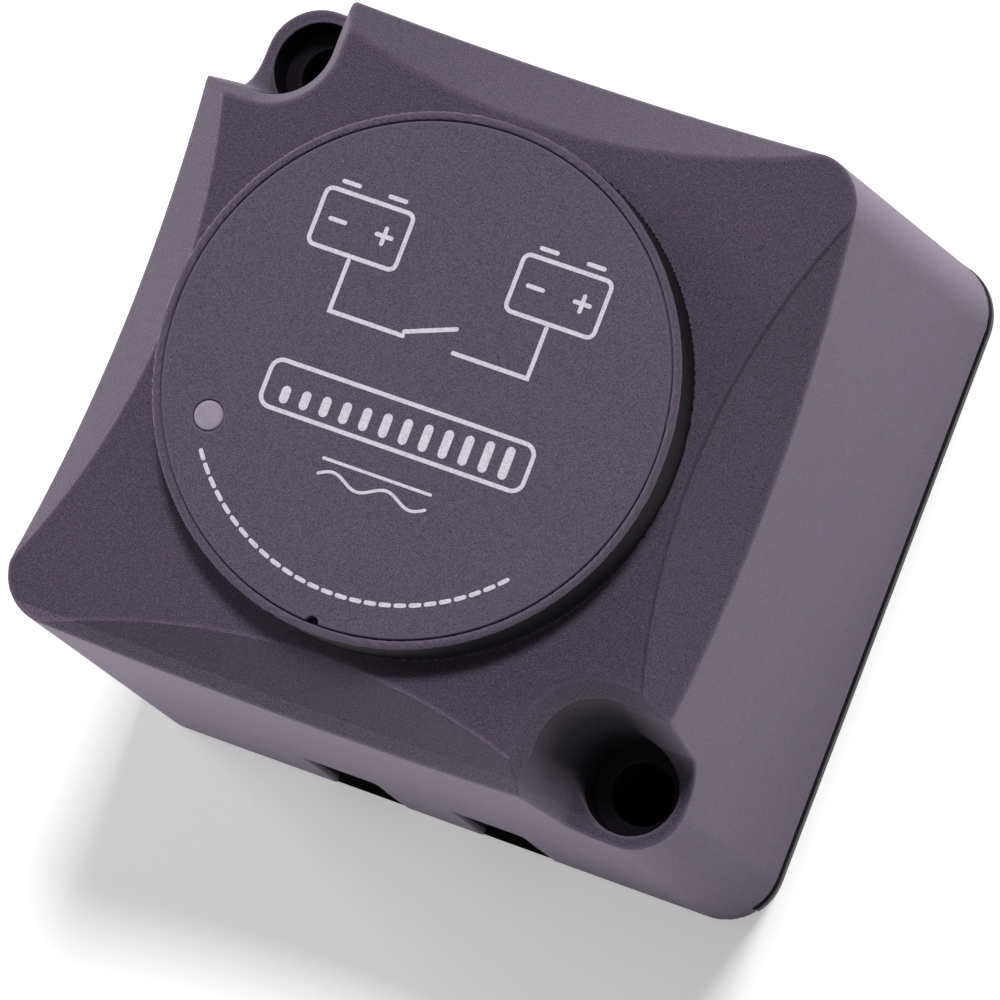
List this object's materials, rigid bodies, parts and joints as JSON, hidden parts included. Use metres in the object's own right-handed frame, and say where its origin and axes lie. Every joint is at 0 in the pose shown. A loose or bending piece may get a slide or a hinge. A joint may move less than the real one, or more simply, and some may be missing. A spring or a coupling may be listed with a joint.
{
  "type": "battery isolator relay",
  "caption": "Square moulded relay housing with a round label boss, recessed corner mounting holes and terminal studs in bays at the back.",
  "frame": {"origin": "centre of the square mounting face at the back of the housing", "axes": "+Z out of the front with the label disc, -Y towards the side wall with the two cable notches, +X to the right when the label is read"},
  "size_m": [0.068, 0.068, 0.0565],
  "materials": {
    "housing_plastic": "charcoal moulded plastic with a fine sandblasted grain",
    "label_plastic": "charcoal label disc with a fine even grain",
    "light_pipe": "frosted clear plastic",
    "cover_plastic": "dark moulded plastic",
    "black_rubber": "soft black rubber",
    "stud_brass": "turned brass with a rolled thread",
    "plated_steel": "zinc plated steel",
    "copper": "punched copper strip",
    "contact_silver": "dull silver alloy",
    "spring_steel": "drawn spring wire",
    "carrier_plastic": "natural glass filled nylon",
    "magnet_iron": "plated soft iron",
    "bobbin_plastic": "black moulded plastic",
    "enamelled_wire": "enamelled copper wire",
    "tinned_wire": "tinned copper wire",
    "chassis_plastic": "dark grey moulded plastic",
    "board_laminate": "green solder mask over laminate",
    "led_lens": "diffused epoxy",
    "chip_plastic": "black moulding compound",
    "capacitor_sleeve": "shrunk dark blue sleeve",
    "resistor_body": "glazed thick film"
  },
  "bodies": {
    "case": {"housing": "housing_plastic", "label_disc": "label_plastic", "led_window": "light_pipe", "rear_cover": "cover_plastic", "rear_gasket": "black_rubber", "lead_grommet": "black_rubber", "stud_house": "stud_brass", "stud_start": "stud_brass", "stud_seals": "black_rubber", "terminal_flat_washers": "plated_steel", "terminal_spring_washers": "plated_steel", "terminal_nuts": "plated_steel", "bus_bar_house": "copper", "bus_bar_start": "copper", "fixed_tips": "contact_silver", "hinge_pin": "plated_steel", "yoke": "magnet_iron", "core": "magnet_iron", "bobbin": "bobbin_plastic", "coil_winding": "enamelled_wire", "coil_pins": "tinned_wire", "return_spring": "spring_steel", "relay_chassis": "chassis_plastic", "yoke_screws": "plated_steel", "chassis_screws": "plated_steel", "circuit_board": "board_laminate", "board_screws": "plated_steel", "sense_pins": "tinned_wire", "indicator_led": "led_lens", "controller_chip": "chip_plastic", "driver_transistor": "chip_plastic", "capacitors": "capacitor_sleeve", "resistors": "resistor_body", "diodes": "chip_plastic"},
    "clapper": {"armature": "magnet_iron", "contact_carrier": "carrier_plastic", "carrier_rivets": "plated_steel", "bridge_clip": "spring_steel", "pressure_spring": "spring_steel"},
    "bridge": {"contact_bridge": "copper", "moving_tips": "contact_silver"}
  },
  "joints": [
    {"name": "armature_swing", "type": "hinge", "parent": "case", "child": "clapper", "pos_m": [0, 0.0252, 0.02875], "axis": [1, 0, 0], "range_deg": [0, 2.8], "stiffness_Nm_per_rad": 0.2, "springref_deg": -5.73, "deforming": ["return_spring"]},
    {"name": "bridge_overtravel", "type": "slide", "parent": "clapper", "child": "bridge", "axis": [0, 0.049, 0.9988], "range_m": [0, 0.0004], "stiffness_N_per_m": 300, "springref_m": -0.004, "deforming": ["pressure_spring"]}
  ]
}
